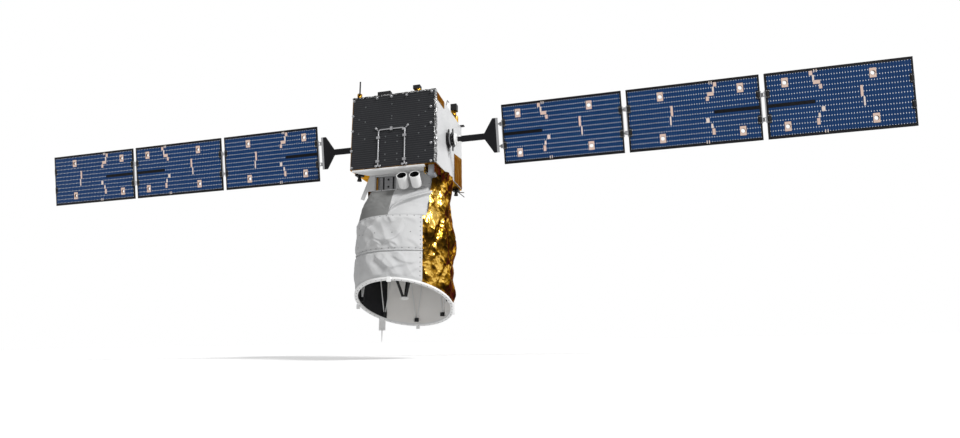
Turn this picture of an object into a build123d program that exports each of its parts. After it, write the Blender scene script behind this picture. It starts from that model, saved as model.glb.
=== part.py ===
from build123d import *
import math
import os

os.makedirs("parts", exist_ok=True)

# Bus, with the launch ring's face as the zero height
ring_height = 100
ring_outer = 468.5
ring_inner = 440
ring_foot = 510
ring_flange = 15
bus_width = 1540
bus_depth = 1690
bus_height = 1340
skin = 12
skin_margin = 15
bus_top = -ring_height
bus_bottom = bus_top - bus_height
front_face = -bus_depth / 2 - skin
side_face = bus_width / 2 + skin

# Telescope
scope_y = -155
hood_x = 60
hood_width = 1120
hood_depth = 830
hood_low = -1760
hood_corner = 40
shoulder_low = 817
neck_foil_start = 56
neck_foil_top = 830
neck_foil_waist = 790
neck_foil_waist_height = -1900
baffle_top = -2309
baffle_radius = 820
baffle_wall = 20
blanket_thickness = 18
lining_thickness = 8
seam_height = -2902
seam_band = 26
seam_rise = 10
mouth_height = -3699
mouth_slope = 0.408
rim_depth = 26
rim_inner = 790
rim_outer = 846
blanket_radius = baffle_radius + blanket_thickness
shell_inner = baffle_radius - baffle_wall
lining_inner = shell_inner - lining_thickness
cell_low = baffle_top - 100
mirror_radius = 750
mirror_curve = 3000
white_start = -100
white_end = 40
dark_start = -135
dark_end = -30

# Wings
wing_y = -163
wing_z = -777
wing_tilt = -12.1
panel_length = 2060
panel_width = 1060
panel_thickness = 25
panel_gap = 78
panel_start = 1804
cell_thickness = 3
cell_end_border = 30
cell_side_border = 46
hole_radius = 37
patch_length = 100
patch_width = 155
hold_near = 0.14
hold_far = 0.737
hold_across = 0.33
strip_width = 57
strip_reach = 0.34
notch_length = 62
notch_width = 150
hinge_spots = (-200, 200)
hinge_half = 15
hinge_side_gap = 6
hinge_lug = 12
knuckle_radius = 20
knuckle_hole = 8.1
pin_radius = 8
root_hinge = 1000
root_knuckle = 26
root_hole = 15.1
root_pin = 15
root_half = 40
root_lug = 20
yoke_thickness = 30
yoke_arm = 110
yoke_span = 616
yoke_taper_start = 1470
yoke_strip_start = 1630
yoke_bar = 40
hinge_bar = 14
hinge_bar_span = 520
hinge_bar_depth = 20
drive_end = 922
disc_start = 930
disc_end = 942
disc_radius = 122
hub_end = 962
stub_radius = 49.9
drive_bore = 50
bore_floor = 850

tilt = math.radians(wing_tilt)
wing_up = Vector(0, math.sin(tilt), math.cos(tilt))
wing_front = Vector(0, -math.cos(tilt), math.sin(tilt))
wing_axis = Vector(0, wing_y, wing_z)
# Height of each hinge line over the panel's middle plane, cell side positive
hinge_rise = (-40, 30, -30)


def save(piece, label):
    """Name a finished piece and write its file."""
    piece.part.label = label
    export_step(piece.part, f"parts/{label}.step")


def wing_face(rise):
    """Plane over the wing's middle plane, drawn along the span and across the panel."""
    return Plane(origin=wing_axis + wing_front * rise, x_dir=(1, 0, 0), z_dir=wing_front)


def wing_edge(across):
    """Plane across the wing, drawn along the span and through the panel's thickness."""
    return Plane(origin=wing_axis + wing_up * across, x_dir=(1, 0, 0), z_dir=-wing_up)


def radial(angle):
    """Plane through the telescope's axis, drawn outwards and upwards, from the front round to the right."""
    turn = math.radians(angle)
    out = Vector(math.sin(turn), -math.cos(turn), 0)
    return Plane(origin=(0, scope_y, 0), x_dir=out, z_dir=out.cross(Vector(0, 0, 1)))


def rim_height(radius, angle):
    """Height of the mouth's slanted plane at a place round the telescope."""
    return mouth_height + mouth_slope * radius * math.cos(math.radians(angle))


def web(edge, half, line, rise, radius):
    """Corners of the web from a piece's edge to the round eye on its hinge line."""
    return (edge, -half), (edge, half), (line, rise + radius), (line, rise - radius)


scope_axis = Axis((0, scope_y, 0), (0, 0, 1))
slant_up = Vector(0, mouth_slope, 1).normalized()
mouth_plane = Plane(origin=(0, scope_y, mouth_height), x_dir=(1, 0, 0), z_dir=slant_up)
front_plane = Plane(origin=(0, -bus_depth / 2, 0), x_dir=(1, 0, 0), z_dir=(0, -1, 0))
rear_plane = Plane(origin=(0, bus_depth / 2, 0), x_dir=(-1, 0, 0), z_dir=(0, 1, 0))
bus_middle = (bus_top + bus_bottom) / 2

# Bus box and its skins
with BuildPart() as bus_core:
    with BuildSketch(Plane.XY.offset(bus_bottom)):
        Rectangle(bus_width, bus_depth)
    extrude(amount=bus_height)
save(bus_core, "bus_core")

for label, plane in (("front_radiator", front_plane), ("rear_panel", rear_plane)):
    with BuildPart() as skin_plate:
        with BuildSketch(plane):
            with Locations((0, bus_middle)):
                Rectangle(bus_width - 2 * skin_margin, bus_height - 2 * skin_margin)
        extrude(amount=skin)
    save(skin_plate, label)

for label, way in (("right_radiator", 1), ("left_radiator", -1)):
    with BuildPart() as side_plate:
        side_plane = Plane(origin=(way * bus_width / 2, 0, 0), x_dir=(0, way, 0), z_dir=(way, 0, 0))
        with BuildSketch(side_plane):
            with Locations((0, bus_middle)):
                Rectangle(bus_depth - 2 * skin_margin, bus_height - 2 * skin_margin)
        extrude(amount=skin)
    save(side_plate, label)

# Launch ring with a foot and a face flange
with BuildPart() as launch_ring:
    with BuildSketch(Plane.XZ):
        with BuildLine():
            Polyline(
                (ring_inner, bus_top),
                (ring_foot, bus_top),
                (ring_foot, bus_top + ring_flange),
                (ring_inner + ring_flange, bus_top + ring_flange),
                (ring_inner + ring_flange, -ring_flange),
                (ring_outer, -ring_flange),
                (ring_outer, 0),
                (ring_inner, 0),
                close=True,
            )
        make_face()
    revolve(axis=Axis.Z)
save(launch_ring, "launch_ring")

# Cooling pipe bent in a U on the front
pipe_radius = 13
pipe_bend = 45
pipe_left = -252
pipe_right = 228
pipe_low = -1405
pipe_high = -753
pipe_out = front_face - pipe_radius
with BuildPart() as cooling_pipe:
    with BuildLine(Plane(origin=(0, pipe_out, 0), x_dir=(1, 0, 0), z_dir=(0, -1, 0))) as pipe_path:
        FilletPolyline(
            (pipe_left, pipe_low),
            (pipe_left, pipe_high),
            (pipe_right, pipe_high),
            (pipe_right, pipe_low),
            radius=pipe_bend,
        )
    with BuildSketch(Plane(origin=pipe_path.line @ 0, z_dir=pipe_path.line % 0)):
        Circle(pipe_radius)
    sweep(path=pipe_path.line)
save(cooling_pipe, "cooling_pipe")

# Clamps that hold the pipe on the radiator
clamp_half = 32
clamp_length = 46
clamp_wall = 8
with BuildPart() as pipe_clamps:
    for clamp_x, clamp_z, upright in (
        (pipe_left, -900, True),
        (pipe_left, -1330, True),
        (pipe_right, -900, True),
        (pipe_right, -1330, True),
        (-14, pipe_high, False),
    ):
        wide, tall = (2 * clamp_half, clamp_length) if upright else (clamp_length, 2 * clamp_half)
        slot_wide, slot_tall = (2 * pipe_radius, tall) if upright else (wide, 2 * pipe_radius)
        clamp_plane = Plane(origin=(clamp_x, front_face, clamp_z), x_dir=(1, 0, 0), z_dir=(0, -1, 0))
        with BuildSketch(clamp_plane):
            Rectangle(wide, tall)
        extrude(amount=2 * pipe_radius + clamp_wall)
        with BuildSketch(clamp_plane):
            Rectangle(slot_wide, slot_tall)
        extrude(amount=2 * pipe_radius, mode=Mode.SUBTRACT)
save(pipe_clamps, "pipe_clamps")

# Rod antenna and its foot on the top deck
rod_x = -676
rod_y = -780
rod_top = 270
foot_top = -55
with BuildPart() as rod:
    with BuildSketch(Plane(origin=(rod_x, rod_y, bus_top))):
        Circle(32)
    extrude(amount=foot_top - bus_top)
    with BuildSketch(Plane(origin=(rod_x, rod_y, foot_top))):
        Circle(13)
    extrude(amount=rod_top - foot_top)
    chamfer(rod.edges().group_by(Axis.Z)[-1], length=5)
save(rod, "rod_antenna")

# Boxes on the top deck, two of them on feet: place, size and heights of each
with BuildPart() as deck_boxes:
    for box_x, box_y, box_wide, box_deep, box_low, box_top in (
        (-220, -720, 240, 90, bus_top, 30),
        (430, -775, 70, 60, bus_top, -25),
        (412, -775, 125, 100, -25, 42),
        (720, 470, 60, 60, bus_top, 92),
        (735, 470, 120, 120, 92, 225),
        (755, 800, 190, 80, bus_top, -84),
    ):
        with BuildSketch(Plane(origin=(box_x, box_y, box_low))):
            Rectangle(box_wide, box_deep)
        extrude(amount=box_top - box_low)
save(deck_boxes, "deck_boxes")
with BuildPart() as sun_sensor:
    with BuildSketch(Plane(origin=(690, 650, bus_top))):
        Circle(74)
    extrude(amount=180)
    fillet(sun_sensor.edges().group_by(Axis.Z)[-1], radius=40)
save(sun_sensor, "sun_sensor")

# Thrusters under the bottom corners: a foot and a flared nozzle
thruster_foot = 60
thruster_foot_depth = 45
thruster_length = 85
with BuildPart() as thrusters:
    for thruster_x, thruster_y in ((-690, -640), (-665, 720), (690, 720)):
        with BuildSketch(Plane(origin=(thruster_x, thruster_y, bus_bottom), z_dir=(0, 0, -1))):
            Rectangle(2 * thruster_foot, 2 * thruster_foot)
        extrude(amount=thruster_foot_depth)
        nozzle_top = bus_bottom - thruster_foot_depth
        with BuildSketch(Plane(origin=(thruster_x, thruster_y, nozzle_top), z_dir=(0, 0, -1))):
            Circle(20)
        with BuildSketch(Plane(origin=(thruster_x, thruster_y, nozzle_top - thruster_length), z_dir=(0, 0, -1))):
            Circle(42)
        loft()
        with BuildSketch(Plane(origin=(thruster_x, thruster_y, nozzle_top - 20), z_dir=(0, 0, -1))):
            Circle(15)
        with BuildSketch(Plane(origin=(thruster_x, thruster_y, nozzle_top - thruster_length), z_dir=(0, 0, -1))):
            Circle(36)
        loft(mode=Mode.SUBTRACT)
save(thrusters, "thrusters")

# Sensor box under the front right corner and the ledge under the front edge
with BuildPart() as corner_box:
    with BuildSketch(Plane(origin=(680, -720, bus_bottom), z_dir=(0, 0, -1))):
        Rectangle(110, 130)
    extrude(amount=195)
    chamfer(corner_box.edges().group_by(Axis.Z)[0], length=16)
save(corner_box, "corner_box")
hood_front = scope_y - hood_depth / 2
ledge_depth = 34
ledge_front = -bus_depth / 2
ledge_rear = hood_front - 22
with BuildPart() as front_ledge:
    with BuildSketch(Plane.XY.offset(bus_bottom - ledge_depth)):
        with BuildLine():
            Polyline(
                (-740, ledge_front),
                (575, ledge_front),
                (575, ledge_rear),
                (-525, ledge_rear),
                close=True,
            )
        make_face()
    extrude(amount=ledge_depth)
    ledge_edges = front_ledge.edges().group_by(Axis.Z)[0]
    fillet(ledge_edges.sort_by(Axis.Y)[0], radius=26)
save(front_ledge, "front_ledge")

# Hood round the instrument bench, with a bay in its front and a slanted shield on its left
bay_left = -413
bay_right = -31
bay_high = -1500
bay_low = -1745
bay_depth = 70
shield_thickness = 14
bay_plane = Plane(origin=(0, hood_front, 0), x_dir=(1, 0, 0), z_dir=(0, -1, 0))
with BuildPart() as neck_hood:
    with BuildSketch(Plane(origin=(hood_x, scope_y, hood_low))):
        RectangleRounded(hood_width, hood_depth, hood_corner)
    extrude(amount=bus_bottom - hood_low)
    with BuildSketch(bay_plane):
        with BuildLine():
            Polyline(
                (bay_left - 12, bus_bottom - 10),
                (-513, bus_bottom - 10),
                (-600, -1670),
                (-684, -1885),
                (-620, -1910),
                (-560, hood_low + 5),
                (bay_left - 12, hood_low + 5),
                close=True,
            )
        make_face()
    extrude(amount=shield_thickness)
    with BuildSketch(bay_plane):
        with Locations(((bay_left + bay_right) / 2, (bay_high + bay_low) / 2)):
            Rectangle(bay_right - bay_left, bay_high - bay_low)
    extrude(amount=-bay_depth, mode=Mode.SUBTRACT)
save(neck_hood, "neck_hood")

# Panels in the bay: left edge, right edge and how far each stands out
with BuildPart() as bay_panels:
    for plate_left, plate_right, plate_rise in ((-405, -366, 62), (-362, -292, 40), (-256, -106, 50), (-76, -36, 40)):
        with BuildSketch(bay_plane.offset(-bay_depth)):
            with Locations(((plate_left + plate_right) / 2, (bay_high + bay_low) / 2)):
                Rectangle(plate_right - plate_left, bay_high - bay_low - 10)
        extrude(amount=plate_rise)
    for eye_height in (-1560, -1690):
        with BuildSketch(bay_plane.offset(-bay_depth + 50)):
            with Locations((-181, eye_height)):
                Circle(17)
        extrude(amount=-30, mode=Mode.SUBTRACT)
save(bay_panels, "bay_panels")

# Star trackers: a foot on the hood and a round-ended tube that looks forwards and up
tracker_way = Vector(0.08, -0.82, 0.57).normalized()
tracker_length = 255
tracker_radius = 88
tracker_wall = 9
tracker_depth = 190
tracker_round = 40
with BuildPart() as star_trackers:
    for tracker_x in (152, 380):
        root = Vector(tracker_x, hood_front - 64, -1748)
        tube = Plane(origin=root, x_dir=(1, 0, 0), z_dir=tracker_way)
        with BuildSketch(tube):
            Circle(tracker_radius)
        extrude(amount=tracker_length)
        tube_end = star_trackers.edges().filter_by(GeomType.CIRCLE).sort_by_distance(root)[0]
        fillet(tube_end, radius=tracker_round)
        with BuildSketch(tube.offset(tracker_length)):
            Circle(tracker_radius - tracker_wall)
        extrude(amount=-tracker_depth, mode=Mode.SUBTRACT)
        with BuildSketch(bay_plane):
            with Locations((tracker_x, -1690)):
                Rectangle(110, 80)
        extrude(amount=58)
save(star_trackers, "star_trackers")

# Sloped shoulder from the hood's outline to the baffle's circle
with BuildPart() as shoulder:
    with BuildSketch(Plane(origin=(hood_x, scope_y, hood_low))):
        RectangleRounded(hood_width, hood_depth, hood_corner)
    with BuildSketch(Plane(origin=(0, scope_y, baffle_top))):
        RectangleRounded(2 * shoulder_low, 2 * shoulder_low, shoulder_low - 1)
    loft(ruled=True)
save(shoulder, "shoulder")

# Baffle shell, its rim on the slant and the mirror cell inside its top
baffle_deep = rim_height(rim_outer, 180) - 100
with BuildPart() as baffle_shell:
    with BuildSketch(radial(0)):
        with Locations(((shell_inner + baffle_radius) / 2, (baffle_top + baffle_deep) / 2)):
            Rectangle(baffle_wall, baffle_top - baffle_deep)
    revolve(axis=scope_axis)
    split(bisect_by=mouth_plane.offset(rim_depth), keep=Keep.TOP)
save(baffle_shell, "baffle_shell")
with BuildPart() as baffle_rim:
    with BuildSketch(radial(0)):
        with Locations(((rim_inner + rim_outer) / 2, (baffle_top + baffle_deep) / 2)):
            Rectangle(rim_outer - rim_inner, baffle_top - baffle_deep)
    revolve(axis=scope_axis)
    split(bisect_by=mouth_plane.offset(rim_depth), keep=Keep.BOTTOM)
    split(bisect_by=mouth_plane, keep=Keep.TOP)
save(baffle_rim, "baffle_rim")
with BuildPart() as mirror_cell:
    with BuildSketch(radial(0)):
        with Locations(((mirror_radius + shell_inner) / 2, (baffle_top + cell_low) / 2)):
            Rectangle(shell_inner - mirror_radius, baffle_top - cell_low)
    revolve(axis=scope_axis)
save(mirror_cell, "mirror_cell")

# Primary mirror with a hollow face
with BuildPart() as primary_mirror:
    sag = mirror_curve - math.sqrt(mirror_curve**2 - mirror_radius**2)
    with BuildSketch(radial(0)):
        with BuildLine():
            Line((0, cell_low + sag), (0, baffle_top))
            Line((0, baffle_top), (mirror_radius, baffle_top))
            Line((mirror_radius, baffle_top), (mirror_radius, cell_low))
            ThreePointArc(
                (mirror_radius, cell_low),
                (mirror_radius / 2, cell_low + sag - mirror_curve + math.sqrt(mirror_curve**2 - mirror_radius**2 / 4)),
                (0, cell_low + sag),
            )
        make_face()
    revolve(axis=scope_axis)
save(primary_mirror, "primary_mirror")

# Cloth, foil and lining round the baffle: radii, heights and turns of each
for label, inner, outer, high, low, start, end, cut in (
    ("white_blanket_upper", baffle_radius, blanket_radius, baffle_top, seam_height, white_start, white_end, False),
    ("white_blanket_lower", baffle_radius, blanket_radius, seam_height, baffle_deep, white_start, white_end, True),
    ("gold_blanket", baffle_radius, blanket_radius, baffle_top, baffle_deep, white_end, white_start + 360, True),
    ("dark_lining", lining_inner, shell_inner, cell_low, baffle_deep, dark_start, dark_end, True),
    ("pale_lining", lining_inner, shell_inner, cell_low, baffle_deep, dark_end, dark_start + 360, True),
):
    with BuildPart() as layer:
        with BuildSketch(radial(start)):
            with Locations(((inner + outer) / 2, (high + low) / 2)):
                Rectangle(outer - inner, high - low)
        revolve(axis=scope_axis, revolution_arc=end - start)
        if cut:
            split(bisect_by=mouth_plane.offset(rim_depth), keep=Keep.TOP)
        if label == "white_blanket_upper":
            with BuildSketch(radial(start)):
                with Locations((blanket_radius + seam_rise / 2, seam_height + seam_band / 2)):
                    Rectangle(seam_rise, seam_band)
            revolve(axis=scope_axis, revolution_arc=end - start)
        if label == "gold_blanket":
            with BuildSketch(radial(neck_foil_start)):
                with BuildLine():
                    Polyline(
                        (neck_foil_top, bus_bottom),
                        (neck_foil_waist, neck_foil_waist_height),
                        (blanket_radius, baffle_top),
                        (baffle_radius, baffle_top),
                        (neck_foil_waist - blanket_thickness, neck_foil_waist_height),
                        (neck_foil_top - blanket_thickness, bus_bottom),
                        close=True,
                    )
                make_face()
            revolve(axis=scope_axis, revolution_arc=end - neck_foil_start)
    save(layer, label)

# Brackets inside the rim and the rods that run from them up to the mirror cell
rod_places = tuple(4 + 45 * index for index in range(8))
bracket_depth = 55
bracket_rise = 52
bracket_turn = 5
bracket_height = 70
wall_rod_radius = 9
rod_spread = 17
rod_ring = 768
with BuildPart() as rim_brackets:
    for place in rod_places:
        bracket_low = rim_height(rim_inner, place) + bracket_rise
        with BuildSketch(radial(place - bracket_turn / 2)):
            with Locations((lining_inner - bracket_depth / 2, bracket_low + bracket_height / 2)):
                Rectangle(bracket_depth, bracket_height)
        revolve(axis=scope_axis, revolution_arc=bracket_turn)
save(rim_brackets, "rim_brackets")
with BuildPart() as wall_rods:
    for place in rod_places:
        low_height = rim_height(rim_inner, place) + bracket_rise + bracket_height
        for lean in (-1, 1):
            for turn, height in ((place + lean * 1.2, low_height), (place + lean * rod_spread, cell_low)):
                across = rod_ring * math.sin(math.radians(turn))
                deep = scope_y - rod_ring * math.cos(math.radians(turn))
                with BuildSketch(Plane(origin=(across, deep, height))):
                    Circle(wall_rod_radius)
            loft()
save(wall_rods, "wall_rods")

# Secondary mirror on three struts from the mirror cell
secondary_height = -3575
secondary_radius = 75
strut_turns = (-18, 42, 192)
strut_depth = 24
strut_width = 44
strut_ring = 770
strut_low_ring = 48
with BuildPart() as secondary_mirror:
    with BuildSketch(Plane(origin=(0, scope_y, secondary_height), z_dir=(0, 0, -1))):
        Circle(secondary_radius)
    extrude(amount=26)
    with BuildSketch(Plane(origin=(0, scope_y, secondary_height - 26), z_dir=(0, 0, -1))):
        Circle(secondary_radius - 25)
    extrude(amount=22)
save(secondary_mirror, "secondary_mirror")
with BuildPart() as secondary_struts:
    for place in strut_turns:
        out = radial(place).x_dir
        for ring, height in ((strut_low_ring, secondary_height), (strut_ring, cell_low)):
            spot = Vector(0, scope_y, height) + out * ring
            with BuildSketch(Plane(origin=spot, x_dir=out, z_dir=(0, 0, 1))):
                Rectangle(strut_depth, strut_width)
        loft()
save(secondary_struts, "secondary_struts")

# Fittings on the outside of the rim and the probe that hangs from it
tab_turn = 4
with BuildPart() as rim_tabs:
    for place, tab_drop in ((4, 30), (94, 150), (184, 30), (270, 30)):
        tab_top = rim_height(rim_outer, place) + 30
        with BuildSketch(radial(place - tab_turn / 2)):
            with Locations((rim_outer + 18, tab_top - (50 + tab_drop) / 2)):
                Rectangle(36, 50 + tab_drop)
        revolve(axis=scope_axis, revolution_arc=tab_turn)
save(rim_tabs, "rim_tabs")
probe_turn = 229
probe_top = rim_height(rim_outer, probe_turn) + 40
probe_drop = 230
needle_drop = 200
with BuildPart() as rim_probe:
    with BuildSketch(radial(probe_turn - 4)):
        with Locations((rim_outer + 12, probe_top - probe_drop / 2)):
            Rectangle(24, probe_drop)
    revolve(axis=scope_axis, revolution_arc=8)
    needle_x = (rim_outer + 12) * math.sin(math.radians(probe_turn))
    needle_y = scope_y - (rim_outer + 12) * math.cos(math.radians(probe_turn))
    with BuildSketch(Plane(origin=(needle_x, needle_y, probe_top - probe_drop), z_dir=(0, 0, -1))):
        Circle(11)
    with BuildSketch(Plane(origin=(needle_x, needle_y, probe_top - probe_drop - needle_drop), z_dir=(0, 0, -1))):
        Circle(4)
    loft()
save(rim_probe, "rim_probe")

# Wings
for side, way in (("left", -1), ("right", 1)):
    # Drive that turns the wing: base, drum between two legged flanges, and an open end
    with BuildPart() as drive_housing:
        base = Plane(origin=(way * side_face, wing_y, wing_z), x_dir=(0, way, 0), z_dir=(way, 0, 0))
        with BuildSketch(base):
            RectangleRounded(230, 230, 30)
        extrude(amount=16)
        for start, end, radius in ((0, drive_end - side_face, 92), (16, 34, 138), (34, 92, 112), (92, 108, 138)):
            with BuildSketch(base.offset(start)):
                Circle(radius)
            extrude(amount=end - start)
        for start, legs in ((16, 430), (92, 430)):
            with BuildSketch(base.offset(start)):
                RectangleRounded(54, legs, 20)
            extrude(amount=14)
        with BuildSketch(base.offset(bore_floor - side_face)):
            Circle(drive_bore)
        extrude(amount=drive_end - bore_floor, mode=Mode.SUBTRACT)
    save(drive_housing, f"{side}_drive_housing")

    # Hub that turns in the drive and carries the root hinge's lugs
    with BuildPart() as drive_hub:
        shaft = Plane(origin=(way * (bore_floor + 8), wing_y, wing_z), x_dir=(0, way, 0), z_dir=(way, 0, 0))
        for start, end, radius in (
            (bore_floor + 8, disc_start, stub_radius),
            (disc_start, disc_end, disc_radius),
            (disc_end, hub_end, 78),
        ):
            with BuildSketch(shaft.offset(start - bore_floor - 8)):
                Circle(radius)
            extrude(amount=end - start)
        for lug_way in (-1, 1):
            lug_middle = lug_way * (root_half + hinge_side_gap + root_lug / 2)
            with BuildSketch(wing_edge(lug_middle)):
                with Locations((way * root_hinge, 0)):
                    Circle(root_knuckle)
                with BuildLine():
                    Polyline(*web(way * disc_end, 32, way * root_hinge, 0, root_knuckle), close=True)
                make_face()
            extrude(amount=root_lug / 2, both=True)
        with BuildSketch(wing_edge(0)):
            with Locations((way * root_hinge, 0)):
                Circle(root_pin)
        extrude(amount=root_half + hinge_side_gap + root_lug, both=True)
    save(drive_hub, f"{side}_drive_hub")

    # Yoke: knuckle, arm, taper and strip
    yoke_end = panel_start - panel_gap
    plate_end = yoke_end - yoke_bar
    arm_start = root_hinge + 42
    with BuildPart() as yoke:
        with BuildSketch(wing_face(0)):
            with BuildLine():
                Polyline(
                    (way * arm_start, -yoke_arm / 2),
                    (way * yoke_taper_start, -yoke_arm / 2),
                    (way * yoke_strip_start, -yoke_span / 2),
                    (way * plate_end, -yoke_span / 2),
                    (way * plate_end, yoke_span / 2),
                    (way * yoke_strip_start, yoke_span / 2),
                    (way * yoke_taper_start, yoke_arm / 2),
                    (way * arm_start, yoke_arm / 2),
                    close=True,
                )
            make_face()
        extrude(amount=yoke_thickness / 2, both=True)
        with BuildSketch(wing_edge(0)):
            with Locations((way * root_hinge, 0)):
                Circle(root_knuckle)
            with BuildLine():
                Polyline(*web(way * arm_start, yoke_thickness / 2, way * root_hinge, 0, root_knuckle), close=True)
            make_face()
        extrude(amount=root_half, both=True)
        with BuildSketch(wing_edge(0)):
            with Locations((way * root_hinge, 0)):
                Circle(root_hole)
        extrude(amount=root_half, both=True, mode=Mode.SUBTRACT)
    save(yoke, f"{side}_yoke")

    # Panels, cell fields and hinge fittings, counted outwards from the bus
    for number in (1, 2, 3):
        near = panel_start + (number - 1) * (panel_length + panel_gap)
        middle = way * (near + panel_length / 2)
        mirrored = number == 2
        holds = tuple(1 - share if mirrored else share for share in (hold_near, hold_far))
        hold_spots = [
            (way * (near + share * panel_length), side_way * hold_across * panel_width)
            for share in holds
            for side_way in (-1, 1)
        ]
        with BuildPart() as panel:
            with BuildSketch(wing_face(0)):
                with Locations((middle, 0)):
                    Rectangle(panel_length, panel_width)
                with Locations(*hold_spots):
                    Circle(hole_radius, mode=Mode.SUBTRACT)
            extrude(amount=panel_thickness / 2, both=True)
        save(panel, f"{side}_panel_{number}")

        strip_length = strip_reach * panel_length
        strip_middle = near + (panel_length - strip_length / 2 if mirrored else strip_length / 2)
        with BuildPart() as cells:
            with BuildSketch(wing_face(panel_thickness / 2)):
                with Locations((middle, 0)):
                    Rectangle(panel_length - 2 * cell_end_border, panel_width - 2 * cell_side_border)
                with Locations(*hold_spots):
                    Rectangle(patch_length, patch_width, mode=Mode.SUBTRACT)
                with Locations((way * strip_middle, 0)):
                    Rectangle(strip_length, strip_width, mode=Mode.SUBTRACT)
                with Locations(*[
                    (way * (near + end * panel_length), spot) for end in (0, 1) for spot in hinge_spots
                ]):
                    Rectangle(2 * notch_length, notch_width, mode=Mode.SUBTRACT)
            extrude(amount=cell_thickness)
        save(cells, f"{side}_cells_{number}")

    # Hinge fittings: knuckles outboard of each piece, pinned lugs inboard of the next, on bars along the edges
    for number in (0, 1, 2, 3):
        piece_end = yoke_end if number == 0 else panel_start + number * panel_length + (number - 1) * panel_gap
        piece_start = panel_start + (number - 1) * (panel_length + panel_gap)
        edge_half = (yoke_thickness if number == 0 else panel_thickness) / 2
        with BuildPart() as fittings:
            if number < 3:
                line_at = piece_end + panel_gap / 2
                bar_length, bar_span = (yoke_bar, yoke_span) if number == 0 else (hinge_bar, hinge_bar_span)
                bar_middle = piece_end + (-bar_length if number == 0 else bar_length) / 2
                with BuildSketch(wing_face(0)):
                    with Locations((way * bar_middle, 0)):
                        Rectangle(bar_length, bar_span)
                extrude(amount=(yoke_thickness if number == 0 else hinge_bar_depth) / 2, both=True)
                for spot in hinge_spots:
                    with BuildSketch(wing_edge(spot)):
                        with Locations((way * line_at, hinge_rise[number])):
                            Circle(knuckle_radius)
                        with BuildLine():
                            Polyline(
                                *web(way * piece_end, edge_half, way * line_at, hinge_rise[number], knuckle_radius),
                                close=True,
                            )
                        make_face()
                        with Locations((way * line_at, hinge_rise[number])):
                            Circle(knuckle_hole, mode=Mode.SUBTRACT)
                    extrude(amount=hinge_half, both=True)
            if number > 0:
                line_at = piece_start - panel_gap / 2
                with BuildSketch(wing_face(0)):
                    with Locations((way * (piece_start - hinge_bar / 2), 0)):
                        Rectangle(hinge_bar, hinge_bar_span)
                extrude(amount=hinge_bar_depth / 2, both=True)
                for spot in hinge_spots:
                    for lug_way in (-1, 1):
                        with BuildSketch(wing_edge(spot + lug_way * (hinge_half + hinge_side_gap + hinge_lug / 2))):
                            with Locations((way * line_at, hinge_rise[number - 1])):
                                Circle(knuckle_radius)
                            with BuildLine():
                                Polyline(
                                    *web(way * piece_start, edge_half, way * line_at, hinge_rise[number - 1],
                                         knuckle_radius),
                                    close=True,
                                )
                            make_face()
                        extrude(amount=hinge_lug / 2, both=True)
                    with BuildSketch(wing_edge(spot)):
                        with Locations((way * line_at, hinge_rise[number - 1])):
                            Circle(pin_radius)
                    extrude(amount=hinge_half + hinge_side_gap + hinge_lug, both=True)
        save(fittings, f"{side}_{'yoke' if number == 0 else f'panel_{number}'}_hinges")
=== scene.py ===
"""Looks of an earth observation satellite: foil, cloth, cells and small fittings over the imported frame."""
import logging
import math
from dataclasses import dataclass
from enum import Enum
from typing import Callable

import bpy
from mathutils import Matrix, Vector, noise


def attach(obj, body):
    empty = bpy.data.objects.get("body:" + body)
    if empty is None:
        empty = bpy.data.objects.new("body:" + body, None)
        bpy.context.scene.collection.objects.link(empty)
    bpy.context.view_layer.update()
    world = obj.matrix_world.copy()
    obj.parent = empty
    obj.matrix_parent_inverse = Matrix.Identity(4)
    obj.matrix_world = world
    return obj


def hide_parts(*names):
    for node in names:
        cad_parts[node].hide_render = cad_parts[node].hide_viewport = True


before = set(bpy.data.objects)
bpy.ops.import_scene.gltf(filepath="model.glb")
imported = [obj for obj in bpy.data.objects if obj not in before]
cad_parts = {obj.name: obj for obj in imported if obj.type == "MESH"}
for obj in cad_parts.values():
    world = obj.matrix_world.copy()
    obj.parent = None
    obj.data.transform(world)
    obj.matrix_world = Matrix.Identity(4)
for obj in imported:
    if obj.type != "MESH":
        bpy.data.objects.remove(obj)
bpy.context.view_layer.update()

logging.basicConfig(level=logging.INFO, format="%(message)s")
LOG = logging.getLogger("satellite")

Colour = tuple[float, float, float]
Spot = tuple[float, float]
Shape = Callable[[float, float], Vector]
Thing = bpy.types.Object
Socket = bpy.types.NodeSocket
Place = Vector | tuple[float, float, float]
Field = Socket | float
Tone = Socket | Colour

# Real sizes, in metres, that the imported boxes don't give
WING_TILT = math.radians(-12.1)
WING_AXIS = Vector((0.0, -0.163, -0.777))
PANEL_START = 1.804
PANEL_LENGTH = 2.060
PANEL_WIDTH = 1.060
PANEL_GAP = 0.078
PANEL_HALF = 0.0125
CELL_END_BORDER = 0.030
CELL_SIDE_BORDER = 0.046
CELL_COLUMNS = 52
CELL_ROWS = 12
HOLD_PLACES = (0.14, 0.737)
HOLD_ACROSS = 0.33
HINGE_SPOTS = (-0.2, 0.2)
BUS_BOTTOM = -1.44
BUS_TOP = -0.1
HOOD_FRONT = -0.57
HOOD_LOW = -1.76
HOOD_MIDDLE = 0.06
HOOD_HALF_WIDTH = 0.56
HOOD_HALF_DEPTH = 0.415
HOOD_CORNER = 0.04
SCOPE_Y = -0.155
SHOULDER_LOW = 0.817
BAFFLE_RADIUS = 0.820
BLANKET_RADIUS = 0.838
BAFFLE_TOP = -2.309
SEAM_HEIGHT = -2.889
MOUTH_HEIGHT = -3.699
MOUTH_SLOPE = 0.408
RIM_DEPTH = 0.026
RIM_MIDDLE = 0.818
WHITE_START = -100.0
WHITE_END = 40.0
FOIL_END = 260.0
NECK_FOIL_START = 58.0
WAIST_RADIUS = 0.79
WAIST_HEIGHT = -1.9
NECK_TOP_RADIUS = 0.83
FLOOR_HEIGHT = -4.62


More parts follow.
